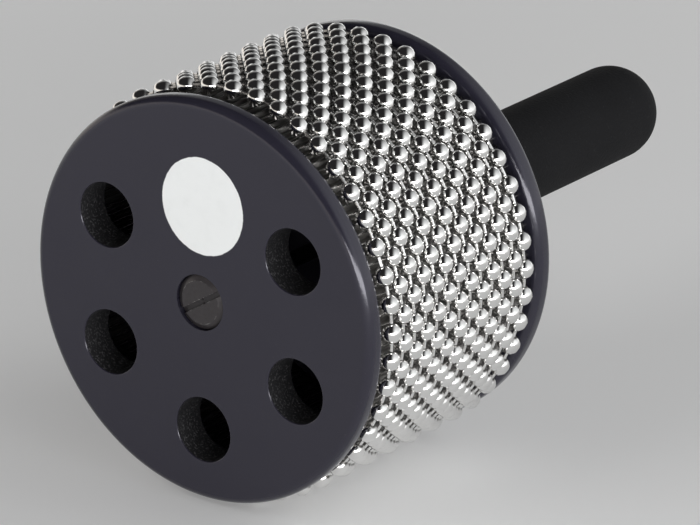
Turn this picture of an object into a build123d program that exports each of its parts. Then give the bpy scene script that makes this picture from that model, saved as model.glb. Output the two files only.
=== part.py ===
"""Cabasa: a hand percussion instrument. Loops of steel ball chain lie round a ribbed steel drum between
two wooden discs. A long slotted bolt draws the discs, the drum and the handle together. The player holds
the beads in one palm and twists the foam-covered handle, so the ribbed drum turns under the loops.

The instrument lies on its side: its axis runs along +Y from the front disc to the handle, +Z is up, and the
origin is on the table, under the middle of the whole. Lengths are in millimetres and angles in degrees.
"""

import os
from math import atan, atan2, cos, degrees, isclose, pi, radians, sin

from build123d import *

# Discs
disc_diameter = 114.0
rim_thickness = 6.6
rim_round = 2.5
rim_round_share = 0.45
spigot_depth = 3.9
hole_diameter = 18.3
hole_wall = 6.2
hole_edge_chamfer = 0.4
hole_places = 6
hole_count = 5
hole_turn = 1.05

# Ribbed drum
rim_overhang = 3.7
sheet_thickness = 0.5
rib_height = 0.8
rib_pitch = 2.84
spigot_clearance = 0.1

# Bead loops
loop_count = 13
bead_across = 5.4
bead_length = 5.3
bead_wall = 0.35
bead_mouth_lip = 0.15
link_gap = 2.56
loop_clearance = 0.3
nest_gap = 0.92
front_loop_gap = 1.0
rear_loop_gap = 3.14
loop_turn = 0.45
loop_slip = 4.2
slip_power = 4

# Link pins
pin_diameter = 1.0
pin_head_step = 0.55
pin_head_length = 0.7
mouth_clearance = 0.3
pin_end_play = 0.4

# Tie bolt
bolt_diameter = 4.8
bolt_tip_chamfer = 0.6
head_diameter = 15.2
head_height = 3.0
head_bevel_height = 0.8
head_bevel_width = 1.5
head_sink = 0.1
head_clearance = 0.3
slot_width = 1.6
slot_depth = 1.5
slot_angle = 32.0
bolt_hole_clearance = 0.2

# Handle
grip_diameter = 27.5
grip_length = 121.8
grip_mouth_round = 1.5
grip_end_wall = 13.0
core_diameter = 16.0
core_clearance = 0.1
insert_wall = 1.9
insert_length = 14.0
insert_clearance = 0.05
thread_clearance = 0.05
bolt_reach = 13.0

# Sizes that follow
disc_radius = disc_diameter / 2
disc_thickness = rim_thickness + spigot_depth
crest_radius = disc_radius - rim_overhang
rib_radius = crest_radius - rib_height / 2
spigot_radius = crest_radius - rib_height - sheet_thickness - spigot_clearance
hole_radius = hole_diameter / 2
hole_circle_radius = spigot_radius - hole_wall - hole_radius
rib_count = round(2 * pi * crest_radius / rib_pitch)

bead_radius = bead_across / 2
bead_circle_radius = crest_radius + loop_clearance + bead_radius
bead_count = round(2 * pi * bead_circle_radius / (bead_length + link_gap))
bead_step = 360 / bead_count
half_step = radians(bead_step / 2)
half_step_chord = 2 * bead_circle_radius * sin(half_step / 2)
loop_pitch = ((bead_across + nest_gap) ** 2 - half_step_chord**2) ** 0.5
first_loop = rim_thickness + front_loop_gap + bead_radius
last_loop = first_loop + (loop_count - 1) * loop_pitch
drum_length = last_loop + bead_radius + rear_loop_gap + rim_thickness
sleeve_length = drum_length - 2 * rim_thickness

pin_radius = pin_diameter / 2
mouth_radius = pin_radius + mouth_clearance
pin_circle_radius = bead_circle_radius * cos(half_step) + bead_length / 2 * sin(half_step)
half_gap = bead_circle_radius * sin(half_step) - bead_length / 2 * cos(half_step)

bolt_radius = bolt_diameter / 2
head_radius = head_diameter / 2
insert_radius = bolt_radius + thread_clearance + insert_wall
insert_hole_radius = insert_radius + insert_clearance
grip_radius = grip_diameter / 2
grip_bore_radius = core_diameter / 2 + core_clearance
total_length = drum_length + grip_length

# The front plane's x is +X and its y is down; the section plane's x is along the axis
axis_height = bead_circle_radius + bead_radius
front_y = -total_length / 2
front_plane = Plane(origin=(0, front_y, axis_height), x_dir=(1, 0, 0), z_dir=(0, 1, 0))
rear_plane = Plane(origin=(0, front_y + drum_length, axis_height), x_dir=(1, 0, 0), z_dir=(0, -1, 0))
section_plane = Plane(origin=(0, front_y, axis_height), x_dir=(0, 1, 0), z_dir=(1, 0, 0))
drum_axis = Axis((0, front_y, axis_height), (0, 1, 0))

os.makedirs("parts", exist_ok=True)


def keep(piece, label):
    """Names a finished piece and writes it."""
    piece.part.label = label
    export_step(piece.part, f"parts/{label}.step")


def disc_blank(outer_plane):
    """A disc whose flat outer face is on the plane: a rim with rounded edges, then a spigot into the drum."""
    rounding = min(rim_round, rim_round_share * rim_thickness)
    with BuildPart() as blank:
        with BuildSketch(outer_plane):
            Circle(disc_radius)
        extrude(amount=rim_thickness)
        fillet(blank.edges().filter_by(GeomType.CIRCLE), radius=rounding)
        with BuildSketch(outer_plane.offset(rim_thickness)):
            Circle(spigot_radius)
        extrude(amount=spigot_depth)
        with BuildSketch(outer_plane):
            Circle(bolt_radius + bolt_hole_clearance)
        extrude(amount=disc_thickness, mode=Mode.SUBTRACT)
    return blank.part


# Front disc: five sound holes round a sunk seat for the bolt's head, with the top place left plain
hole_pitch = 360 / hole_places
with BuildPart() as front_disc:
    add(disc_blank(front_plane))
    with BuildSketch(front_plane):
        with PolarLocations(
            hole_circle_radius,
            hole_count,
            start_angle=-90 + hole_pitch - hole_turn,
            angular_range=hole_pitch * (hole_count - 1),
            endpoint=True,
        ):
            Circle(hole_radius)
    extrude(amount=disc_thickness, mode=Mode.SUBTRACT)
    hole_edges = front_disc.edges().filter_by(GeomType.CIRCLE)
    chamfer(hole_edges.filter_by(lambda edge: isclose(edge.radius, hole_radius)), length=hole_edge_chamfer)
    with BuildSketch(front_plane):
        Circle(head_radius + head_clearance)
    extrude(amount=head_sink + head_height, mode=Mode.SUBTRACT)
keep(front_disc, "front_disc")

# Rear disc: plain
with BuildPart() as rear_disc:
    add(disc_blank(rear_plane))
keep(rear_disc, "rear_disc")


def rib_wave(middle_radius):
    """One rib of the drum's section: an arc out over its crest, then an arc in through its valley."""
    quarter = radians(90 / rib_count)
    crest = middle_radius + rib_height / 2
    valley = middle_radius - rib_height / 2
    start = (middle_radius * cos(quarter), -middle_radius * sin(quarter))
    middle = (middle_radius * cos(quarter), middle_radius * sin(quarter))
    low = (valley * cos(2 * quarter), valley * sin(2 * quarter))
    stop = (middle_radius * cos(3 * quarter), middle_radius * sin(3 * quarter))
    with BuildLine() as wave:
        ThreePointArc(start, (crest, 0), middle)
        ThreePointArc(middle, low, stop)
    return wave.line


# Ribbed drum sleeve: steel sheet with lengthwise ribs, between the two rims and centred on the spigots
outer_wave = rib_wave(rib_radius)
inner_wave = rib_wave(rib_radius - sheet_thickness)
with BuildPart() as ribbed_sleeve:
    with BuildSketch(front_plane.offset(rim_thickness)):
        with BuildLine():
            with PolarLocations(0, rib_count):
                add(outer_wave)
        make_face()
        with BuildLine():
            with PolarLocations(0, rib_count):
                add(inner_wave)
        make_face(mode=Mode.SUBTRACT)
    extrude(amount=sleeve_length, clean=False)
keep(ribbed_sleeve, "ribbed_sleeve")

# Bead: a hollow ball along Y, with a mouth for a link pin at each end
half_length = bead_length / 2
lip_radius = mouth_radius + bead_mouth_lip
bead_reach = half_length / (1 - (lip_radius / bead_radius) ** 2) ** 0.5
inner_radius = bead_radius - bead_wall
inner_reach = bead_reach - bead_wall
inner_half_length = inner_reach * (1 - (mouth_radius / inner_radius) ** 2) ** 0.5
lip_angle = degrees(atan2(half_length / bead_reach, lip_radius / bead_radius))
inner_angle = degrees(atan2(inner_half_length / inner_reach, mouth_radius / inner_radius))
with BuildPart() as bead:
    with BuildSketch(Plane.XY):
        with BuildLine():
            outside = EllipticalCenterArc((0, 0), bead_radius, bead_reach, -lip_angle, arc_size=2 * lip_angle)
            inside = EllipticalCenterArc(
                (0, 0), inner_radius, inner_reach, -inner_angle, arc_size=2 * inner_angle
            )
            Polyline(outside @ 1, (mouth_radius, half_length), inside @ 1)
            Polyline(outside @ 0, (mouth_radius, -half_length), inside @ 0)
        make_face()
    revolve(axis=Axis.Y)

# Link pin: a wire along Y, with a head inside the bead at each end
head_start = half_gap + half_length - inner_half_length + pin_end_play
with BuildPart() as link_pin:
    with BuildSketch(Plane.XZ):
        Circle(pin_radius)
    extrude(amount=head_start, both=True)
    for side in (1, -1):
        with BuildSketch(Plane.XZ.offset(side * head_start)):
            Circle(pin_radius + pin_head_step)
        extrude(amount=side * pin_head_length)


def strung(piece, radius, loop, turn):
    """One loop's copies of a piece: round the axis from an angle, each in line with the chain.

    The loose loops have slipped to the rear at the top, the first loop most and the last loop not at all.
    """
    slip = loop_slip * (1 - loop / (loop_count - 1))
    places = []
    for angle in (turn + step * bead_step for step in range(bead_count)):
        rise = max(0, -sin(radians(angle)))
        slope = -slip * slip_power * rise ** (slip_power - 1) * cos(radians(angle)) / radius
        on_chain = Location((radius, 0, slip * rise**slip_power), (degrees(atan(slope)), 0, 0))
        places.append(Location((0, 0, 0), (0, 0, angle)) * on_chain)
    with BuildPart(front_plane.offset(first_loop + loop * loop_pitch)) as ring:
        with Locations(*places):
            add(piece, clean=False)
    return ring


# Bead loops: neighbouring loops nest half a bead step apart, so they all turn together
for loop in range(loop_count):
    number = f"{loop + 1:02d}"
    turn = 90 + loop_turn + (loop + 1) % 2 * bead_step / 2
    keep(strung(bead.part, bead_circle_radius, loop, turn), f"bead_loop_{number}")
    keep(strung(link_pin.part, pin_circle_radius, loop, turn + bead_step / 2), f"link_pins_{number}")

# Tie bolt: a wide slotted head sunk in the front disc, and a shank through the drum into the handle
bolt_tip = drum_length + bolt_reach
head_seat = head_sink + head_height
with BuildPart() as tie_bolt:
    with BuildSketch(section_plane):
        with BuildLine():
            Polyline(
                (head_sink, 0),
                (head_sink, head_radius - head_bevel_width),
                (head_sink + head_bevel_height, head_radius),
                (head_seat, head_radius),
                (head_seat, bolt_radius),
                (bolt_tip - bolt_tip_chamfer, bolt_radius),
                (bolt_tip, bolt_radius - bolt_tip_chamfer),
                (bolt_tip, 0),
                close=True,
            )
        make_face()
    revolve(axis=drum_axis)
    with BuildSketch(front_plane.offset(head_sink)):
        Rectangle(2 * head_diameter, slot_width, rotation=-slot_angle)
    extrude(amount=slot_depth, mode=Mode.SUBTRACT)
keep(tie_bolt, "tie_bolt")

# Handle core: a wooden dowel behind the rear disc, bored at its front end for the threaded insert
core_length = grip_length - grip_end_wall
with BuildPart() as handle_core:
    with BuildSketch(front_plane.offset(drum_length)):
        Circle(core_diameter / 2)
    extrude(amount=core_length)
    with BuildSketch(front_plane.offset(drum_length)):
        Circle(insert_hole_radius)
    extrude(amount=insert_length, mode=Mode.SUBTRACT)
keep(handle_core, "handle_core")

# Threaded insert: a brass bush in the core that takes the bolt
with BuildPart() as threaded_insert:
    with BuildSketch(front_plane.offset(drum_length)):
        Circle(insert_radius)
        Circle(bolt_radius + thread_clearance, mode=Mode.SUBTRACT)
    extrude(amount=insert_length)
keep(threaded_insert, "threaded_insert")

# Foam grip: a thick sleeve over the core, closed by a domed end
grip_stop = drum_length + grip_length
dome_start = grip_stop - grip_radius
bore_stop = drum_length + core_length + core_clearance
with BuildPart() as foam_grip:
    with BuildSketch(section_plane):
        with BuildLine():
            Polyline(
                (grip_stop, 0),
                (bore_stop, 0),
                (bore_stop, grip_bore_radius),
                (drum_length, grip_bore_radius),
                (drum_length, grip_radius),
                (dome_start, grip_radius),
            )
            CenterArc((dome_start, 0), grip_radius, 0, 90)
        make_face()
    revolve(axis=drum_axis)
    mouth_edge = foam_grip.faces().sort_by(Axis.Y).first.outer_wire().edges()
    fillet(mouth_edge, radius=grip_mouth_round)
keep(foam_grip, "foam_grip")
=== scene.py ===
"""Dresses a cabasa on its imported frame: discs, ribbed drum, loops of beads, tie bolt and foam handle.

Everything is in metres in the frame's own axes: the instrument's axis runs along +Y, +Z is up and the
floor is at z = 0. Angles round the axis start at +X and turn towards +Z.
"""

from math import asin, cos, pi, radians, sin

import bpy
import numpy as np
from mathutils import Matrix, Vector


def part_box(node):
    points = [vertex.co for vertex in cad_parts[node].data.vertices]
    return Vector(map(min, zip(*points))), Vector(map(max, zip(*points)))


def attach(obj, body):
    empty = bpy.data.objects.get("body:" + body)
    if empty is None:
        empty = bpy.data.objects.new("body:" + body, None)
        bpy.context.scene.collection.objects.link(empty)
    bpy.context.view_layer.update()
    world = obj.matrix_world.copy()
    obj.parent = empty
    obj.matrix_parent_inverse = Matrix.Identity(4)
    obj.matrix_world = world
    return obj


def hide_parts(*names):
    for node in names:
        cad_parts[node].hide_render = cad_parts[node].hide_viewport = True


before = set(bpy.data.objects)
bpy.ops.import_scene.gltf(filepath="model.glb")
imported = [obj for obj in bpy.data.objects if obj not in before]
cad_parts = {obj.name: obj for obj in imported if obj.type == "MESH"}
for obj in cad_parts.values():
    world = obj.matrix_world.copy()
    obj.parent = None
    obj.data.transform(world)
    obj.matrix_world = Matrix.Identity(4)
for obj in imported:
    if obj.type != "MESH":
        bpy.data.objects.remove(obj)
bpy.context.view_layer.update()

bl_info = {
    "name": "Cabasa",
    "version": (1, 0, 0),
    "blender": (4, 5, 0),
    "location": "3D View > Sidebar > Cabasa",
    "description": "Builds the visible pieces of a cabasa over its CAD frame",
    "category": "Add Mesh",
}

MM = 0.001
FRONT_LOW, FRONT_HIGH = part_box("front_disc")
REAR_LOW, REAR_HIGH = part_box("rear_disc")
SLEEVE_LOW, SLEEVE_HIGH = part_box("ribbed_sleeve")
CORE_LOW, CORE_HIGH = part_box("handle_core")
GRIP_LOW, GRIP_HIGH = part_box("foam_grip")
BOLT_LOW, BOLT_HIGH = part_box("tie_bolt")
AXIS_Z = (FRONT_LOW.z + FRONT_HIGH.z) / 2
DISC_RADIUS = (FRONT_HIGH.x - FRONT_LOW.x) / 2
LOOP_PREFIX = "bead_loop_"
LOOP_NODES = sorted(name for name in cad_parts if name.startswith(LOOP_PREFIX))
LOOPS = [name.removeprefix(LOOP_PREFIX) for name in LOOP_NODES]
# A disc is meshed in sixths: steps along a sixth's outer arc, inner arc and sides
SECTORS = 6
ARC_STEPS = 24
HEART_STEPS = 8
SIDE_STEPS = 12
ROUND_STEPS = 8
HOLE_EDGE_STEPS = 4
# Rings of a pierced face, as shares of the way from the hole's edge to the border
FACE_RINGS = (0, 0.03, 0.25, 0.6, 0.97, 1)
# A ring of the rear disc's flat face near its edge, as a share of the face's radius
FLAT_RING = 0.98
RIB_STEPS = 12
BEAD_ROWS = 7
# Degrees round a bead's own line: fine steps where it shows and one wide step towards the drum
BEAD_SPIN = (-140, -96, -64, -32, 0, 32, 64, 96, 140)
# Mark inside a bead's mouth, where the mark at the mouth's edge is 1
MOUTH_MARK = 1.25
PIN_COLUMNS = 8
BOLT_COLUMNS = 41
GRIP_COLUMNS = 96
GRIP_RINGS = 12
GRIP_MOUTH_STEPS = 6
DOME_STEPS = 20
FLOOR_RINGS = (0.0, 0.5, 2.0, 8.0)
FLOOR_COLUMNS = 64
# Points in the same cube of this size are merged, and the shift keeps round numbers off the cubes' sides
WELD = 2e-7
WELD_SHIFT = 0.37
SEEN_RAYS = ("Is Camera Ray", "Is Glossy Ray", "Is Transmission Ray")


def length(name, description, millimetres):
    """A length property with a default in millimetres."""
    return bpy.props.FloatProperty(
        name=name,
        description=description,
        default=millimetres * MM,
        min=0,
        precision=5,
        subtype="DISTANCE",
        unit="LENGTH",
    )


def angle(name, description, degrees):
    """An angle property with a default in degrees."""
    return bpy.props.FloatProperty(
        name=name,
        description=description,
        default=radians(degrees),
        subtype="ANGLE",
    )


def whole_number(name, description, number, least):
    """A whole number property that doesn't go below the least."""
    return bpy.props.IntProperty(name=name, description=description, default=number, min=least)


def camera_length(name, description, millimetres):
    """A camera's length property, which Blender keeps in millimetres."""
    return bpy.props.FloatProperty(name=name, description=description, default=millimetres, unit="CAMERA")


def colour(name, description, red, green, blue):
    """A colour property in linear values."""
    return bpy.props.FloatVectorProperty(
        name=name,
        description=description,
        default=(red, green, blue),
        size=3,
        min=0,
        max=1,
        subtype="COLOR",
    )


class CabasaSizes(bpy.types.PropertyGroup):
    """Sizes that the frame's boxes don't give."""

    rim_thickness: length("Rim thickness", "From a disc's outer face to the drum's end", 6.6)
    rim_round: length("Rim round", "Radius of both edges of a disc's rim", 2.5)
    spigot_radius: length("Spigot radius", "Step of a disc that sits inside the drum", 51.9)
    hole_radius: length("Hole radius", "Sound hole in the front disc", 9.15)
    hole_circle: length("Hole circle", "Distance of the sound holes from the axis", 36.55)
    hole_turn: angle("Hole turn", "Turn of the sound holes round the axis", 1.05)
    hole_round: length("Hole edge round", "Radius of the sound holes' edges", 0.4)
    seat_radius: length("Seat radius", "Sunk seat of the bolt's head", 7.9)
    seat_depth: length("Seat depth", "Depth of the seat below the front face", 3.1)
    bolt_hole_radius: length("Bolt hole radius", "Hole through both discs", 2.6)
    print_radius: length("Print radius", "Plain white round on the front disc", 13.7)
    print_side: length("Print side", "Middle of the white round to the right of the axis", 1.2)
    print_height: length("Print height", "Middle of the white round above the axis", 27.6)
    print_edge: length("Print edge", "Width over which the white round fades out", 0.25)
    print_ragged: length("Print raggedness", "How far the white round's edge strays", 0.3)
    rib_count: whole_number("Ribs", "Lengthwise ribs of the drum", 118, 3)
    rib_height: length("Rib height", "Drum's crest above its valley", 0.8)
    sheet: length("Sheet", "Thickness of the drum's steel", 0.5)
    bead_count: whole_number("Beads", "Beads on a loop", 45, 3)
    bead_radius: length("Bead radius", "Half of a bead's width", 2.7)
    bead_half_length: length("Bead half length", "Half of a bead along the chain", 2.65)
    bead_lip: length("Bead lip", "Radius of the edge round a bead's mouth", 0.95)
    bead_dimple: length("Bead dimple", "Depth of a bead's mouth", 0.45)
    bead_sway: length("Bead sway", "How far a bead strays along the drum", 0.09)
    loop_turn: angle("Loop turn", "Where the first loop's first bead lies round the axis", -94.45)
    loop_slip: length("Loop slip", "How far the first loop has slipped to the rear at the top", 4.2)
    slip_power: whole_number("Slip power", "How narrow the slip is", 4, 2)
    pin_radius: length("Pin radius", "Wire between two beads", 0.5)
    pin_half_length: length("Pin half length", "Half of a pin with its heads", 2.7)
    pin_head_radius: length("Pin head radius", "Head of a pin inside a bead", 1.05)
    pin_head_length: length("Pin head length", "Head of a pin inside a bead", 0.7)
    head_radius: length("Head radius", "Bolt's head", 7.6)
    head_height: length("Head height", "Bolt's head along the axis", 3.0)
    head_bevel: length("Head bevel", "Fall of the head's sloping edge", 0.8)
    head_bevel_width: length("Head bevel width", "Width of the head's sloping edge", 1.5)
    slot_width: length("Slot width", "Screwdriver slot", 1.6)
    slot_depth: length("Slot depth", "Screwdriver slot", 1.5)
    slot_angle: angle("Slot angle", "Slot's rise from level, seen from the front", 32)
    shank_radius: length("Shank radius", "Bolt's shank", 2.4)
    shank_chamfer: length("Shank chamfer", "Bolt's tip", 0.6)
    mouth_round: length("Grip mouth round", "Radius of the grip's edge at the rear disc", 1.5)


class CabasaColours(bpy.types.PropertyGroup):
    """Colours of the finishes, the floor and the studio's light."""

    lacquer: colour("Lacquer", "Satin black of the discs", 0.0175, 0.0165, 0.026)
    lacquer_dust: colour("Lacquer dust", "Clouds and dust on the lacquer", 0.045, 0.043, 0.052)
    hole_wall: colour("Hole wall", "Rough painted board in the sound holes", 0.004, 0.004, 0.004)
    hole_grain: colour("Hole grain", "Pale fibres in the sound holes", 0.07, 0.068, 0.07)
    print_white: colour("Print", "Plain round on the front disc", 0.84, 0.86, 0.86)
    print_patch: colour("Print patches", "Duller patches of the round", 0.78, 0.80, 0.80)
    steel: colour("Drum steel", "Ribbed sheet", 0.34, 0.33, 0.32)
    # Darker steel in the valleys between the ribs
    steel_valleys: colour("Dull steel", "Valleys between the ribs", 0.06, 0.055, 0.05)
    nickel: colour("Nickel", "Beads and pins", 0.86, 0.855, 0.845)
    # Tarnish together with painted shade round and in a bead's mouth
    tarnish_and_shade: colour("Tarnish", "Dull metal round a bead's mouth", 0.14, 0.13, 0.12)
    oxide: colour("Black oxide", "Bolt", 0.026, 0.022, 0.024)
    oxide_patch: colour("Oxide patches", "Paler patches of the bolt", 0.09, 0.088, 0.09)
    # Worn slot edges of the bolt, and a painted highlight line along the edge of its head's top
    bare_metal_and_highlight: colour("Bare metal", "Worn edges of the bolt", 0.52, 0.51, 0.49)
    foam: colour("Foam", "Grip", 0.006, 0.006, 0.0068)
    foam_cells: colour("Foam cells", "Torn cells at the grip's surface", 0.030, 0.030, 0.032)
    wood: colour("Core wood", "Dowel in the grip", 0.55, 0.38, 0.22)
    wood_grain: colour("Core grain", "Dark lines of the dowel", 0.34, 0.21, 0.11)
    brass: colour("Brass", "Insert in the dowel", 0.72, 0.52, 0.23)
    brass_line: colour("Brass lines", "Lathe lines of the insert", 0.45, 0.30, 0.12)
    floor: colour("Floor", "Studio floor", 0.80, 0.80, 0.80)
    floor_cloud: colour("Floor clouds", "Faint clouds of the floor", 0.776, 0.776, 0.776)
    floor_lift: colour("Floor lift", "Light added to the seen or mirrored floor", 0.10, 0.10, 0.10)
    floor_far_lift: colour("Far floor lift", "The same, far from the instrument", 0.42, 0.42, 0.41)
    room: colour("Room", "Dark parts of the studio", 0.011, 0.0105, 0.011)
    warm_light: colour("Warm light", "Bright parts on the camera's left", 1.0, 0.94, 0.87)
    white_light: colour("White light", "Bright parts on the camera's right", 0.98, 0.995, 1.0)


class CabasaStudio(bpy.types.PropertyGroup):
    """Camera of the photographed view."""

    azimuth: angle("Azimuth", "Camera's turn from the front towards +X", 37.35)
    elevation: angle("Elevation", "Camera's height over the horizon", 21.01)
    distance: length("Distance", "Camera from the point it looks at", 1580)
    aim: bpy.props.FloatVectorProperty(
        name="Aim",
        description="Point in the middle of the picture",
        default=(0.0295, -0.0746, 0.069),
        subtype="XYZ",
    )
    lens: camera_length("Lens", "Focal length", 304.6)
    sensor: camera_length("Sensor", "Width of the camera's sensor", 36)


class Shade:
    """An output socket of a node tree. Arithmetic on it adds Math nodes."""

    def __init__(self, tree, socket=None):
        self.tree = tree
        self.socket = socket

    def node(self, kind, settings=None, inputs=None, output=0):
        """Adds a node of a kind, its settings first and then its inputs, and gives one of its outputs."""
        made = self.tree.nodes.new(kind)
        for name, value in (settings or {}).items():
            setattr(made, name, value)
        for key, value in (inputs or {}).items():
            if isinstance(value, Shade):
                self.tree.links.new(value.socket, made.inputs[key])
            else:
                made.inputs[key].default_value = value
        return Shade(self.tree, made.outputs[output] if made.outputs else None)

    def math(self, operation, *values):
        """A Math node on sockets and numbers."""
        return self.node("ShaderNodeMath", {"operation": operation}, dict(enumerate(values)))

    def __add__(self, other):
        return self.math("ADD", self, other)

    def __radd__(self, other):
        return self.math("ADD", other, self)

    def __sub__(self, other):
        return self.math("SUBTRACT", self, other)

    def __rsub__(self, other):
        return self.math("SUBTRACT", other, self)

    def __mul__(self, other):
        return self.math("MULTIPLY", self, other)

    def __rmul__(self, other):
        return self.math("MULTIPLY", other, self)

    def larger(self, other):
        """The larger of this value and another."""
        return self.math("MAXIMUM", self, other)

    def step(self, low, high):
        """A smooth step of this value: 0 at low and 1 at high."""
        inputs = {"Value": self, "From Min": low, "From Max": high}
        return self.node("ShaderNodeMapRange", {"interpolation_type": "SMOOTHSTEP"}, inputs)

    def mix(self, first, second):
        """Goes from the first colour to the second as this value goes from 0 to 1."""
        ends = [end if isinstance(end, Shade) else (*end[:3], 1.0) for end in (first, second)]
        # By number, since a Mix node has other sockets with the same names as its colours
        inputs = {0: self, 6: ends[0], 7: ends[1]}
        return self.node("ShaderNodeMix", {"data_type": "RGBA"}, inputs, output=2)

    def noise(self, size, detail=3.0):
        """Noise on this vector, with features about a size across."""
        inputs = {"Vector": self, "Scale": 1 / size, "Detail": detail}
        return self.node("ShaderNodeTexNoise", None, inputs)

    def cells(self, size):
        """Distance from the middles of cells about a size across, on this vector."""
        return self.node("ShaderNodeTexVoronoi", None, {"Vector": self, "Scale": 1 / size})

    def stretched(self, x, y, z):
        """This vector with its parts scaled."""
        return self.node("ShaderNodeMapping", None, {"Vector": self, "Scale": (x, y, z)})

    def distance(self, point):
        """Distance of this vector from a point."""
        settings = {"operation": "DISTANCE"}
        return self.node("ShaderNodeVectorMath", settings, {0: self, 1: point}, output="Value")

    def part(self, name):
        """The X, Y or Z of this vector."""
        return self.node("ShaderNodeSeparateXYZ", None, {0: self}, output=name)

    def bump(self, height):
        """A normal in relief: this value from 0 to 1 stands up by a height."""
        inputs = {"Strength": 1.0, "Distance": height, "Height": self}
        return self.node("ShaderNodeBump", None, inputs)


def finish(name, recipe):
    """A material of one shader: its recipe turns Object coordinates and the piece's mark into inputs."""
    material = bpy.data.materials.new(name)
    material.use_nodes = True
    tree = material.node_tree
    tree.nodes.clear()
    start = Shade(tree)
    place = start.node("ShaderNodeTexCoord", output="Object")
    mark = start.node("ShaderNodeAttribute", {"attribute_name": "mark"}, output="Fac")
    surface = start.node("ShaderNodeBsdfPrincipled", None, recipe(place, mark))
    start.node("ShaderNodeOutputMaterial", None, {"Surface": surface})
    return material


def lacquer_finish(sizes, colours):
    """Satin black lacquer with faint clouds, orange peel and dust.

    Where the mark is 1, in the sound holes, it is rough board. The front face has a plain white round.
    """

    def recipe(place, mark):
        clouds = place.noise(0.018, 4)
        peel = place.noise(0.0011, 2)
        dust = place.noise(0.0005, 1).step(0.70, 0.78)
        fibres = place.noise(0.0006, 4).step(0.5, 0.75)
        face = (0.12 * clouds + 0.45 * dust).mix(colours.lacquer, colours.lacquer_dust)
        sawn = mark.step(0.8, 1.0)
        wall = fibres.mix(colours.hole_wall, colours.hole_grain)
        middle = (sizes.print_side, FRONT_LOW.y, AXIS_Z + sizes.print_height)
        ragged = place.distance(middle) + sizes.print_ragged * place.noise(0.0016, 2)
        inked = 1 - ragged.step(sizes.print_radius, sizes.print_radius + sizes.print_edge)
        ink = place.noise(0.004, 3).step(0.4, 1.0).mix(colours.print_white, colours.print_patch)
        return {
            "Base Color": inked.mix(sawn.mix(face, wall), ink),
            "Roughness": 0.13 + 0.05 * clouds + 0.55 * sawn + 0.25 * inked,
            "Specular Tint": (0.93, 0.92, 1.0, 1.0),
            "Normal": (peel * (1 - sawn) * 0.15 + fibres * sawn).bump(0.00012),
        }

    return finish("satin_black_lacquer", recipe)


def steel_finish(colours):
    """Bright rolled sheet, streaked along the drum, and darker and rougher where the mark is 1 in the
    valleys.
    """

    def recipe(place, mark):
        streaks = place.stretched(1, 0.04, 1).noise(0.0007, 3)
        blotches = place.noise(0.008, 3)
        # Darker in the valleys between the ribs
        darkening = mark * (0.55 + 0.4 * blotches)
        return {
            "Base Color": darkening.mix(colours.steel, colours.steel_valleys),
            "Metallic": 1.0,
            "Roughness": 0.18 + 0.14 * streaks + 0.2 * mark,
            "Normal": streaks.bump(0.00002),
        }

    return finish("bright_rolled_steel", recipe)


def nickel_finish(colours):
    """Bright nickel plate with fine handling marks, darkened from a mark near 1 at a bead's mouth:
    tarnish together with painted shade round the mouth and in it.
    """

    def recipe(place, mark):
        handled = place.noise(0.0035, 3)
        scuffs = place.noise(0.00045, 3)
        # Painted shade round and in a bead's mouth, where the pin goes in, together with tarnish
        mouth = mark.step(0.88, 1.05)
        darkening = 0.75 * mouth + 0.10 * handled
        return {
            "Base Color": darkening.mix(colours.nickel, colours.tarnish_and_shade),
            "Metallic": 1.0,
            "Roughness": 0.03 + 0.07 * handled + 0.03 * scuffs + 0.25 * mouth,
            "Normal": scuffs.bump(0.000012),
        }

    return finish("bright_nickel_plate", recipe)


def oxide_finish(colours):
    """Black oxide on steel, rubbed to bare metal where the mark is 1 at the slot's edges. Where the mark
    is 0.75, along the edge of the head's top, the same pale metal is a painted highlight line.
    """

    def recipe(place, mark):
        patches = place.noise(0.0012, 4)
        pores = place.noise(0.0003, 2)
        # Bare metal where worn, and a painted highlight line along the edge of the head's top
        bare_and_highlight = (mark * 0.8 + patches - 0.5).step(0.50, 0.85)
        black = (0.3 * patches).mix(colours.oxide, colours.oxide_patch)
        return {
            "Base Color": bare_and_highlight.mix(black, colours.bare_metal_and_highlight),
            "Metallic": 0.25 + 0.7 * bare_and_highlight,
            "Roughness": 0.24 + 0.14 * patches - 0.06 * bare_and_highlight,
            "Normal": (0.5 * pores + 0.5 * patches).bump(0.00004),
        }

    return finish("black_oxide", recipe)


def foam_finish(colours):
    """Matte closed-cell foam: fine open cells at the surface and faint rubbed areas."""

    def recipe(place, mark):
        pores = place.cells(0.00075)
        crumbs = place.noise(0.0007, 3)
        rubbed = place.noise(0.02, 3)
        pale = crumbs.step(0.58, 0.80) * 0.55 + rubbed * 0.18
        return {
            "Base Color": pale.mix(colours.foam, colours.foam_cells),
            "Roughness": 0.78 + 0.14 * crumbs,
            "Specular IOR Level": 0.15,
            "Normal": (0.6 * pores + 0.6 * crumbs).bump(0.00016),
        }

    return finish("matte_black_foam", recipe)


def wood_finish(colours):
    """Straight-grained dowel with its grain along the axis."""

    def recipe(place, mark):
        grain = place.stretched(1, 0.03, 1).noise(0.0012, 4)
        return {
            "Base Color": grain.step(0.35, 0.7).mix(colours.wood, colours.wood_grain),
            "Roughness": 0.55 + 0.2 * grain,
            "Normal": grain.bump(0.00005),
        }

    return finish("dowel_wood", recipe)


def brass_finish(colours):
    """Turned brass with faint lathe lines round the axis."""

    def recipe(place, mark):
        lines = place.stretched(0.02, 1, 0.02).noise(0.0002, 2)
        return {
            "Base Color": (0.4 * lines).mix(colours.brass, colours.brass_line),
            "Metallic": 1.0,
            "Roughness": 0.25 + 0.2 * lines,
            "Normal": lines.bump(0.00001),
        }

    return finish("turned_brass", recipe)


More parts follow.
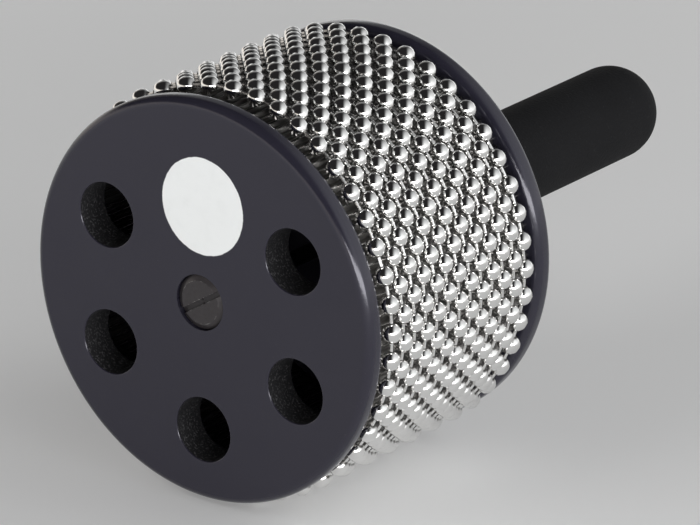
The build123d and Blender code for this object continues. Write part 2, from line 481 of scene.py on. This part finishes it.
def skin(points, mark=0.0, closed=True, flip=False):
    """Vertices, quads and marks of grids of points, whose last axes are row, column and xyz.

    Rows that run along +Y with columns that turn from +X to +Z face away from the axis. flip turns them
    round.
    """
    rows, columns = points.shape[-3:-1]
    row = np.arange(rows - 1)[:, None] * columns
    here = np.arange(columns if closed else columns - 1)[None, :]
    there = (here + 1) % columns
    corners = [row + here, row + columns + here, row + columns + there, row + there]
    quads = np.stack(corners, axis=-1).reshape(-1, 4)
    if flip:
        quads = quads[:, ::-1]
    vertices = points.reshape(-1, 3)
    starts = np.arange(0, len(vertices), rows * columns)
    marks = np.broadcast_to(mark, points.shape[:-1]).reshape(-1)
    return vertices, (starts[:, None, None] + quads).reshape(-1, 4), marks


def turned(profile, angles):
    """Surface of revolution: (radius * cos(t), along, radius * sin(t)) about the drum's axis.

    The profile is a list of (along, radius) points and the angles are t.
    """
    along, radius = np.asarray(profile, float).T[:, :, None]
    x = radius * np.cos(angles)
    z = AXIS_Z + radius * np.sin(angles)
    return np.stack([x, np.broadcast_to(along, x.shape), z], axis=-1)


def around(count):
    """Equal angles of one whole turn."""
    return np.arange(count) * 2 * pi / count


def rounding(along, radius, size, start, stop, count=ROUND_STEPS):
    """Profile points of an arc of a size about (along, radius), from degrees to degrees.

    At an angle t the point is (along + size * sin(t), radius + size * cos(t)).
    """
    turn = np.radians(np.linspace(start, stop, count + 1))
    return [*zip(along + size * np.sin(turn), radius + size * np.cos(turn))]


def joined(surfaces):
    """All surfaces as one set of vertices, faces and marks.

    Like points are merged, and a quad that loses a corner by that is a triangle.
    """
    vertices = np.concatenate([surface[0] for surface in surfaces])
    offsets = np.cumsum([0] + [len(surface[0]) for surface in surfaces[:-1]])
    faces = np.concatenate([surface[1] + offset for surface, offset in zip(surfaces, offsets)])
    marks = np.concatenate([surface[2] for surface in surfaces])
    keys = np.floor(vertices / WELD + WELD_SHIFT).astype(np.int64)
    _, first, inverse = np.unique(keys, axis=0, return_index=True, return_inverse=True)
    faces = inverse.reshape(-1)[faces]
    shrunk = faces == np.roll(faces, -1, axis=1)
    whole = faces[shrunk.sum(axis=1) == 0].tolist()
    for corner in range(4):
        short = faces[shrunk[:, corner] & (shrunk.sum(axis=1) == 1)]
        whole += np.delete(short, corner, axis=1).tolist()
    return vertices[first], whole, marks[first]


def add_piece(name, surfaces, material, body, nodes, crease=35):
    """Makes one object of surfaces, smooth up to a crease in degrees, on a body and for CAD nodes."""
    vertices, faces, marks = joined(surfaces)
    mesh = bpy.data.meshes.new(name)
    mesh.from_pydata(vertices, [], faces)
    attribute = mesh.attributes.new("mark", "FLOAT", "POINT")
    attribute.data.foreach_set("value", marks.astype(np.float32))
    mesh.shade_smooth()
    mesh.set_sharp_from_angle(angle=radians(crease))
    mesh.materials.append(material)
    if mesh.validate():
        raise RuntimeError(f"{name} has faces that Blender can't use")
    piece = bpy.data.objects.new(name, mesh)
    bpy.context.scene.collection.objects.link(piece)
    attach(piece, body)
    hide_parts(*nodes)
    return piece


def sector_border(inner, outer):
    """Border of one sixth of a ring about +X: the outer arc, a side, the inner arc and the other side."""
    half = pi / SECTORS
    outer_turn = np.linspace(-half, half, ARC_STEPS + 1)
    inner_turn = np.linspace(half, -half, HEART_STEPS + 1)
    inwards = np.linspace(outer, inner, SIDE_STEPS + 1)[1:-1]
    outer_radius = np.full(ARC_STEPS + 1, outer)
    inner_radius = np.full(HEART_STEPS + 1, inner)
    side_turn = np.full(len(inwards), half)
    radius = np.concatenate([outer_radius, inwards, inner_radius, inwards[::-1]])
    turn = np.concatenate([outer_turn, side_turn, inner_turn, -side_turn])
    return np.stack([radius * np.cos(turn), radius * np.sin(turn)], axis=-1)


def pierced_face(sizes, inner, outer, hole):
    """One sixth of a flat ring with a round hole: edge + share * (border - edge) for shares from 0 to 1.

    Gives the grid in its own plane, from the hole outwards, and each line's angle at the hole's middle.
    """
    border = sector_border(inner, outer)
    middle = np.array([sizes.hole_circle, 0.0])
    turn = np.unwrap(np.arctan2(*(border - middle).T[::-1]))
    edge = middle + hole * np.stack([np.cos(turn), np.sin(turn)], axis=-1)
    share = np.array(FACE_RINGS)[:, None, None]
    return edge + share * (border - edge), turn


def placed(flat, along, turn):
    """Points of a plane across the axis, turned round the axis and put at a distance along it."""
    x = flat[..., 0] * cos(turn) - flat[..., 1] * sin(turn)
    z = AXIS_Z + flat[..., 0] * sin(turn) + flat[..., 1] * cos(turn)
    return np.stack([x, np.broadcast_to(along, x.shape), z], axis=-1)


def rim_profile(sizes, outer_face, inwards):
    """Rim from the edge of its flat outer face over both rounded edges to the spigot's end.

    inwards is 1 where the drum lies towards +Y and -1 where it lies towards -Y.
    """
    size = sizes.rim_round
    radius = DISC_RADIUS - size
    first = outer_face + inwards * size
    second = outer_face + inwards * (sizes.rim_thickness - size)
    seat = outer_face + inwards * sizes.rim_thickness
    stop = outer_face + inwards * (FRONT_HIGH.y - FRONT_LOW.y)
    return [
        *rounding(first, radius, size, -90 * inwards, 0),
        *rounding(second, radius, size, 0, 90 * inwards),
        (seat, sizes.spigot_radius),
        (stop, sizes.spigot_radius),
    ]


class CabasaPiece:
    """What the operators that build pieces share."""

    bl_options = {"REGISTER", "UNDO"}

    def execute(self, context):
        self.build(context.scene.cabasa_sizes, context.scene.cabasa_colours)
        return {"FINISHED"}


class CABASA_OT_front_disc(CabasaPiece, bpy.types.Operator):
    """Front disc with five sound holes, a sunk bolt seat and a plain white round"""

    bl_idname = "cabasa.front_disc"
    bl_label = "Front disc"

    def build(self, sizes, colours):
        """The faces are six sixths of a ring, five of them pierced. A hole's wall is a stack of circles.

        The circles' radius follows the rounded edges, and their points go over from those of the front
        face's grid to those of the back face's grid.
        """
        face, back = FRONT_LOW.y, FRONT_HIGH.y
        top = pi / 2 + sizes.hole_turn
        flat_radius = DISC_RADIUS - sizes.rim_round
        wide = sizes.hole_radius + sizes.hole_round
        front_grid, front_turn = pierced_face(sizes, sizes.seat_radius, flat_radius, wide)
        back_grid, back_turn = pierced_face(sizes, sizes.bolt_hole_radius, sizes.spigot_radius, wide)
        front_plain, _ = pierced_face(sizes, sizes.seat_radius, flat_radius, 0)
        back_plain, _ = pierced_face(sizes, sizes.bolt_hole_radius, sizes.spigot_radius, 0)
        arc = np.radians(np.linspace(0, 90, HOLE_EDGE_STEPS + 1))
        dip = sizes.hole_round * (1 - np.cos(arc))
        reach = wide - sizes.hole_round * np.sin(arc)
        depth = np.concatenate([dip, (back - face) - dip[::-1]])
        radius = np.concatenate([reach, reach[::-1]])[:, None]
        share = (depth / (back - face))[:, None]
        wall_turn = front_turn * (1 - share) + back_turn * share
        wall_mark = np.concatenate([arc / arc[-1], arc[::-1] / arc[-1]])[:, None]
        wall_out = sizes.hole_circle + radius * np.cos(wall_turn)
        wall = np.stack([wall_out, radius * np.sin(wall_turn)], axis=-1)
        surfaces = [
            skin(turned(rim_profile(sizes, face, 1), top + around(SECTORS * ARC_STEPS))),
            skin(placed(front_plain, face, top)),
            skin(placed(back_plain, back, top), flip=True),
        ]
        for hole in range(1, SECTORS):
            turn = top + hole * 2 * pi / SECTORS
            surfaces.append(skin(placed(front_grid, face, turn)))
            surfaces.append(skin(placed(wall, (face + depth)[:, None], turn), wall_mark, flip=True))
            surfaces.append(skin(placed(back_grid, back, turn), flip=True))
        seat = face + sizes.seat_depth
        bore = [
            (face, sizes.seat_radius),
            (seat, sizes.seat_radius),
            (seat, sizes.bolt_hole_radius),
            (back, sizes.bolt_hole_radius),
        ]
        surfaces.append(skin(turned(bore, top + around(SECTORS * HEART_STEPS)), flip=True))
        material = lacquer_finish(sizes, colours)
        add_piece("disc_front", surfaces, material, "drum", ["front_disc"])


class CABASA_OT_rear_disc(CabasaPiece, bpy.types.Operator):
    """Plain rear disc"""

    bl_idname = "cabasa.rear_disc"
    bl_label = "Rear disc"

    def build(self, sizes, colours):
        """A profile turned about the axis: inner face, rim, outer face and bolt hole."""
        inner, outer = REAR_LOW.y, REAR_HIGH.y
        flat_radius = DISC_RADIUS - sizes.rim_round
        profile = [
            (inner, sizes.bolt_hole_radius),
            *rim_profile(sizes, outer, -1)[::-1],
            (outer, flat_radius * FLAT_RING),
            (outer, sizes.bolt_hole_radius),
            (inner, sizes.bolt_hole_radius),
        ]
        material = bpy.data.materials["satin_black_lacquer"]
        surfaces = [skin(turned(profile, around(SECTORS * ARC_STEPS)))]
        add_piece("disc_rear", surfaces, material, "drum", ["rear_disc"])


class CABASA_OT_sleeve(CabasaPiece, bpy.types.Operator):
    """Ribbed steel sheet round the drum"""

    bl_idname = "cabasa.sleeve"
    bl_label = "Ribbed sleeve"

    def build(self, sizes, colours):
        """At an angle t the radius is the middle one + rib height / 2 * cos(ribs * t), on both faces."""
        turn = around(RIB_STEPS * sizes.rib_count)
        wave = np.cos(sizes.rib_count * turn)
        crest = (SLEEVE_HIGH.x - SLEEVE_LOW.x) / 2
        outside = crest - sizes.rib_height / 2 + sizes.rib_height / 2 * wave
        radius = np.stack([outside, outside, outside - sizes.sheet, outside - sizes.sheet, outside])
        front, rear = SLEEVE_LOW.y, SLEEVE_HIGH.y
        along = np.broadcast_to(np.array([front, rear, rear, front, front])[:, None], radius.shape)
        points = np.stack([radius * np.cos(turn), along, AXIS_Z + radius * np.sin(turn)], axis=-1)
        surfaces = [skin(points, mark=(1 - wave) / 2)]
        material = steel_finish(colours)
        add_piece("drum_sheet", surfaces, material, "drum", ["ribbed_sleeve"], crease=60)


def loop_angles(sizes, loop):
    """Where a loop's beads lie round the axis. Every other loop is half a step on."""
    step = 2 * pi / sizes.bead_count
    return sizes.loop_turn + loop % 2 * step / 2 + np.arange(sizes.bead_count) * step


def loop_places(sizes, loop):
    """Where each bead of a loop lies along the axis.

    The loops have slipped to the rear at the top, by slip * sin(angle) ** power. The first one has
    slipped most and the last one not at all. Each bead also strays a little, by a sum of waves that
    differs for each loop.
    """
    low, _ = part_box(f"bead_loop_{LOOPS[loop]}")
    slip = sizes.loop_slip * (1 - loop / (len(LOOPS) - 1))
    rise = np.maximum(0, np.sin(loop_angles(sizes, loop)))
    bead = np.arange(sizes.bead_count)
    wander = np.sin(2.1 * bead + 1.7 * loop) + np.sin(3.7 * bead * (1 + 0.1 * loop) + loop)
    return low.y + sizes.bead_radius + slip * rise**sizes.slip_power + sizes.bead_sway * wander


def strung(profile, spin, angles, radius, along, lean):
    """Small turned shapes strung round the drum.

    Each profile of (distance along the chain, radius) is turned about its own line by the spin's angles.
    The line is tangent to a circle at an angle and leans towards +Y by a slope.
    """
    reach, width = np.asarray(profile, float).T[:, :, None]
    out = np.stack([np.cos(angles), np.zeros_like(angles), np.sin(angles)], axis=-1)[:, None, None]
    chain = np.stack([-np.sin(angles), lean, np.cos(angles)], axis=-1)[:, None, None]
    side = np.array([0.0, 1.0, 0.0])
    middle = out * radius + np.stack([0 * along, along, 0 * along + AXIS_Z], axis=-1)[:, None, None]
    across = (width * np.cos(spin))[..., None] * out - (width * np.sin(spin))[..., None] * side
    return middle + reach[..., None] * chain + across


class CABASA_OT_bead_loops(CabasaPiece, bpy.types.Operator):
    """Loops of hollow ball beads"""

    bl_idname = "cabasa.bead_loops"
    bl_label = "Bead loops"

    def build(self, sizes, colours):
        """A bead is an ellipse (half length * sin(t) / sin(lip), radius * cos(t)) turned about the chain.

        t goes from -lip to lip, where the ellipse is as wide as the mouth, and the ends dip to the pin.
        """
        lip = np.arccos(sizes.bead_lip / sizes.bead_radius)
        lean = np.linspace(-lip, lip, BEAD_ROWS)
        reach = sizes.bead_half_length * np.sin(lean) / np.sin(lip)
        barrel = [*zip(reach, sizes.bead_radius * np.cos(lean))]
        dimple = sizes.bead_half_length - sizes.bead_dimple
        profile = [(-dimple, 0.0), *barrel, (dimple, 0.0)]
        nearness = np.abs(np.sin(lean) / np.sin(lip))
        # The mark darkens the nickel round and in the mouth: tarnish and painted shade
        mark = np.concatenate([[MOUTH_MARK], nearness, [MOUTH_MARK]])[:, None]
        spin = np.radians(BEAD_SPIN)
        material = nickel_finish(colours)
        circle = AXIS_Z - sizes.bead_radius
        chord = 2 * circle * sin(2 * pi / sizes.bead_count)
        for loop, number in enumerate(LOOPS):
            along = loop_places(sizes, loop)
            slope = (np.roll(along, -1) - np.roll(along, 1)) / chord
            points = strung(profile, spin, loop_angles(sizes, loop), circle, along, slope)
            surfaces = [skin(points, mark)]
            name, body, nodes = f"chain_beads_{number}", f"loop_{number}", [f"bead_loop_{number}"]
            add_piece(name, surfaces, material, body, nodes, crease=50)


class CABASA_OT_link_pins(CabasaPiece, bpy.types.Operator):
    """Pins that link the beads of each loop"""

    bl_idname = "cabasa.link_pins"
    bl_label = "Link pins"

    def build(self, sizes, colours):
        """A pin is a wire with a flat head at both ends, turned about the line between two beads."""
        end, neck = sizes.pin_half_length, sizes.pin_half_length - sizes.pin_head_length
        head, wire = sizes.pin_head_radius, sizes.pin_radius
        far_half = [(neck, wire), (neck, head), (end, head), (end, 0)]
        profile = [*((-along, radius) for along, radius in reversed(far_half)), *far_half]
        half_step = pi / sizes.bead_count
        bead_circle = AXIS_Z - sizes.bead_radius
        circle = bead_circle * cos(half_step) + sizes.bead_half_length * sin(half_step)
        material = bpy.data.materials["bright_nickel_plate"]
        for loop, number in enumerate(LOOPS):
            along = loop_places(sizes, loop)
            following = np.roll(along, -1)
            slope = (following - along) / (2 * bead_circle * sin(half_step))
            angles = loop_angles(sizes, loop) + half_step
            points = strung(profile, around(PIN_COLUMNS), angles, circle, (along + following) / 2, slope)
            name, body, nodes = f"chain_pins_{number}", f"loop_{number}", [f"link_pins_{number}"]
            add_piece(name, [skin(points)], material, body, nodes)


class CABASA_OT_tie_bolt(CabasaPiece, bpy.types.Operator):
    """Tie bolt with a bevelled, slotted head"""

    bl_idname = "cabasa.tie_bolt"
    bl_label = "Tie bolt"

    def build(self, sizes, colours):
        """The head is two halves beside a slot, each a grid from the slot's edge to arcs of circles."""
        face, tip = BOLT_LOW.y, BOLT_HIGH.y
        half_slot = sizes.slot_width / 2
        radius = sizes.head_radius
        bevel, floor = face + sizes.head_bevel, face + sizes.slot_depth

        def bow_turns(size):
            """Angles of a circle from the slot's wall round to the slot's wall again."""
            start = asin(half_slot / size)
            return np.linspace(start, pi - start, BOLT_COLUMNS)

        def bow(size):
            """Arc of a circle: size * (cos, sin) of those angles."""
            turn = bow_turns(size)
            return size * np.stack([np.cos(turn), np.sin(turn)], axis=-1)

        side = bow(radius)
        top = bow(radius - sizes.head_bevel_width)
        chord_along = np.linspace(top[0, 0], top[-1, 0], BOLT_COLUMNS)
        chord = np.stack([chord_along, np.full(BOLT_COLUMNS, half_slot)], axis=-1)
        near_chord = chord + 0.06 * (top - chord)
        near_top = chord + 0.96 * (top - chord)
        bevel_start = top + 0.1 * (side - top)
        half_head = np.stack([chord, near_chord, near_top, top, bevel_start, side, side])
        bevel_start_height = 0.9 * face + 0.1 * bevel
        heights = np.array([face, face, face, face, bevel_start_height, bevel, floor])[:, None]
        # Wear at the slot's edges and the outer edge, and a painted highlight line along the edge of the
        # top
        wear_and_highlight = np.array([0.8, 0.0, 0.0, 0.75, 0.0, 0.2, 0.0])[:, None]
        wall_line = np.concatenate([side[:1], chord, side[-1:]])
        wall = np.stack([wall_line] * 3)
        wall_top = np.concatenate([[bevel], np.full(BOLT_COLUMNS, face), [bevel]])
        wall_foot = np.full(len(wall_top), floor)
        wall_heights = np.stack([wall_top, 0.85 * wall_top + 0.15 * floor, wall_foot])
        wall_worn = np.array([0.8, 0.0, 0.0])[:, None]
        across = np.linspace(-half_slot, half_slot, 3)[:, None]
        bed_along = np.linspace(1, -1, BOLT_COLUMNS) * np.sqrt(radius**2 - across**2)
        bed = np.stack([bed_along, np.broadcast_to(across, bed_along.shape)], axis=-1)
        surfaces = [skin(placed(bed, floor, sizes.slot_angle), closed=False)]
        for turn in (sizes.slot_angle, sizes.slot_angle + pi):
            surfaces.append(skin(placed(half_head, heights, turn), wear_and_highlight, closed=False))
            surfaces.append(skin(placed(wall, wall_heights, turn), wall_worn, closed=False, flip=True))
        stem_turns = bow_turns(radius)
        turns = np.concatenate([[0], stem_turns, [pi], stem_turns + pi]) + sizes.slot_angle
        under = face + sizes.head_height
        shank = sizes.shank_radius
        stem = [
            (floor, radius),
            (under, radius),
            (under, shank),
            (tip - sizes.shank_chamfer, shank),
            (tip, shank - sizes.shank_chamfer),
            (tip, 0),
        ]
        surfaces.append(skin(turned(stem, turns)))
        material = oxide_finish(colours)
        add_piece("bolt_slotted", surfaces, material, "drum", ["tie_bolt"], crease=20)


class CABASA_OT_grip(CabasaPiece, bpy.types.Operator):
    """Foam grip with a domed end"""

    bl_idname = "cabasa.grip"
    bl_label = "Foam grip"

    def build(self, sizes, colours):
        """A profile turned about the axis: bore, rounded mouth, straight tube and half-ball end."""
        front, end = GRIP_LOW.y, GRIP_HIGH.y
        radius = (GRIP_HIGH.x - GRIP_LOW.x) / 2
        bore = (CORE_HIGH.x - CORE_LOW.x) / 2
        edge = sizes.mouth_round
        dome = end - radius
        straight = [(along, radius) for along in np.linspace(front + edge, dome, GRIP_RINGS)[1:-1]]
        profile = [
            (CORE_HIGH.y, 0),
            (CORE_HIGH.y, bore),
            (front, bore),
            *rounding(front + edge, radius - edge, edge, -90, 0, GRIP_MOUTH_STEPS),
            *straight,
            *rounding(dome, 0, radius, 0, 90, DOME_STEPS),
        ]
        material = foam_finish(colours)
        surfaces = [skin(turned(profile, around(GRIP_COLUMNS)))]
        piece = add_piece("grip_foam", surfaces, material, "drum", ["foam_grip"])


class CABASA_OT_hidden_core(CabasaPiece, bpy.types.Operator):
    """Finishes of the dowel and the insert inside the grip, which keep their CAD shapes"""

    bl_idname = "cabasa.hidden_core"
    bl_label = "Handle core and insert"

    def build(self, sizes, colours):
        finishes = {
            "handle_core": wood_finish(colours),
            "threaded_insert": brass_finish(colours),
        }
        for node, material in finishes.items():
            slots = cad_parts[node].data.materials
            slots.clear()
            slots.append(material)


def add_lamp(name, place, aim, width, height, watts, mirrored=False):
    """A soft rectangular lamp that looks at a point. A mirrored one shows in reflections."""
    lamp = bpy.data.lights.new(name, "AREA")
    lamp.shape = "RECTANGLE"
    lamp.size = width
    lamp.size_y = height
    lamp.energy = watts
    holder = bpy.data.objects.new(name, lamp)
    holder.location = place
    holder.rotation_euler = (Vector(aim) - Vector(place)).to_track_quat("-Z", "Y").to_euler()
    holder.visible_camera = False
    holder.visible_glossy = mirrored
    bpy.context.scene.collection.objects.link(holder)


class CABASA_OT_stage(bpy.types.Operator):
    """Pale floor, soft studio light and the camera of the photographed view"""

    bl_idname = "cabasa.stage"
    bl_label = "Stage"

    def execute(self, context):
        scene = context.scene
        studio = scene.cabasa_studio
        scene.view_settings.view_transform = "Standard"
        self.lay_floor(scene.cabasa_colours)
        self.light(scene)
        aim = Vector(studio.aim)
        level = cos(studio.elevation)
        back = Vector((sin(studio.azimuth) * level, -cos(studio.azimuth) * level, sin(studio.elevation)))
        camera = bpy.data.cameras.new("photo_view")
        camera.lens = studio.lens
        camera.sensor_width = studio.sensor
        holder = bpy.data.objects.new("photo_view", camera)
        holder.location = aim + back * studio.distance
        holder.rotation_euler = (-back).to_track_quat("-Z", "Y").to_euler()
        scene.collection.objects.link(holder)
        scene.camera = holder
        return {"FINISHED"}

    def lay_floor(self, colours):
        """A round floor: radius times (cos, sin) on a grid of rings and angles."""
        ring = np.array(FLOOR_RINGS)[:, None]
        turn = around(FLOOR_COLUMNS)
        x = ring * np.cos(turn)
        y = ring * np.sin(turn)
        vertices, faces, _ = joined([skin(np.stack([x, y, 0 * x], axis=-1))])
        mesh = bpy.data.meshes.new("studio_floor")
        mesh.from_pydata(vertices, [], faces)

        def recipe(place, mark):
            cloud = place.noise(0.15, 2)
            paths = [place.node("ShaderNodeLightPath", output=kind) for kind in SEEN_RAYS]
            seen = paths[0] + paths[1] + paths[2]
            # Painted light on the floor for camera and mirror rays; less of it near the instrument paints
            # shade round the instrument
            far = place.distance((0, 0, 0)).step(0.1, 1.5)
            lift = far.mix(colours.floor_lift, colours.floor_far_lift)
            return {
                "Base Color": cloud.mix(colours.floor, colours.floor_cloud),
                "Roughness": 0.85 + 0.1 * cloud,
                "Emission Color": seen.mix((0, 0, 0), lift),
                "Emission Strength": 1.0,
            }

        mesh.materials.append(finish("studio_floor", recipe))
        floor = bpy.data.objects.new("studio_floor", mesh)
        bpy.context.scene.collection.objects.link(floor)

    def light(self, scene):
        """A dark room with a long white wall on the camera's right, a bright horizon and a glow behind.

        Three soft lamps light the instrument, and the key lamp also shows in its reflections.
        """
        colours = scene.cabasa_colours
        world = bpy.data.worlds.new("studio")
        world.use_nodes = True
        world.node_tree.nodes.clear()
        start = Shade(world.node_tree)
        away = start.node("ShaderNodeTexCoord", output="Generated")
        turn = scene.cabasa_studio.azimuth
        right = cos(turn) * away.part("X") + sin(turn) * away.part("Y")
        near = sin(turn) * away.part("X") - cos(turn) * away.part("Y")
        edge = right.step(0.08, 0.75)
        rise = away.part("Z")
        wall = edge * (0.65 + 0.35 * near) * (1 - 0.45 * rise.step(0.0, 1.0))
        horizon = 0.62 * (1 - rise.step(0.12, 0.34))
        behind = 0.15 * (-1 * near).step(0.5, 0.9) * (1 - rise.step(0.5, 0.95))
        level = wall.larger(behind.larger(horizon))
        tint = right.step(-0.6, 0.1).mix(colours.warm_light, colours.white_light)
        sky = level.mix(colours.room, tint)
        glow = start.node("ShaderNodeBackground", None, {"Color": sky, "Strength": 1.8})
        start.node("ShaderNodeOutputWorld", None, {"Surface": glow})
        scene.world = world
        add_lamp(
            "key",
            place=(1.97, -1.50, 0.40),
            aim=(0, -0.04, 0.10),
            width=2.6,
            height=0.6,
            watts=42,
            mirrored=True,
        )
        add_lamp(
            "side",
            place=(0.95, 0.50, 0.80),
            aim=(0, 0.1, 0.2),
            width=1.2,
            height=1.5,
            watts=3,
        )
        add_lamp(
            "fill",
            place=(-0.5, -1.2, 0.9),
            aim=(0, -0.04, AXIS_Z),
            width=0.9,
            height=0.9,
            watts=5.5,
        )


class CABASA_PT_pieces(bpy.types.Panel):
    """Lists the pieces, their sizes and their colours"""

    bl_idname = "CABASA_PT_pieces"
    bl_label = "Cabasa"
    bl_space_type = "VIEW_3D"
    bl_region_type = "UI"
    bl_category = "Cabasa"

    def draw(self, context):
        column = self.layout.column()
        for operator in OPERATORS:
            column.operator(operator.bl_idname)
        for name in SETTINGS:
            group = getattr(context.scene, name)
            for key in type(group).__annotations__:
                column.prop(group, key)


SETTINGS = {"cabasa_sizes": CabasaSizes, "cabasa_colours": CabasaColours, "cabasa_studio": CabasaStudio}
OPERATORS = (
    CABASA_OT_front_disc,
    CABASA_OT_rear_disc,
    CABASA_OT_sleeve,
    CABASA_OT_bead_loops,
    CABASA_OT_link_pins,
    CABASA_OT_tie_bolt,
    CABASA_OT_grip,
    CABASA_OT_hidden_core,
    CABASA_OT_stage,
)


def register():
    for kind in (*SETTINGS.values(), *OPERATORS, CABASA_PT_pieces):
        bpy.utils.register_class(kind)
    for name, kind in SETTINGS.items():
        setattr(bpy.types.Scene, name, bpy.props.PointerProperty(type=kind))


def unregister():
    for name in SETTINGS:
        delattr(bpy.types.Scene, name)
    for kind in (CABASA_PT_pieces, *reversed(OPERATORS), *SETTINGS.values()):
        bpy.utils.unregister_class(kind)


def main():
    register()
    bpy.ops.cabasa.front_disc()
    bpy.ops.cabasa.rear_disc()
    bpy.ops.cabasa.sleeve()
    bpy.ops.cabasa.bead_loops()
    bpy.ops.cabasa.link_pins()
    bpy.ops.cabasa.tie_bolt()
    bpy.ops.cabasa.grip()
    bpy.ops.cabasa.hidden_core()
    bpy.ops.cabasa.stage()


if __name__ == "__main__":
    main()
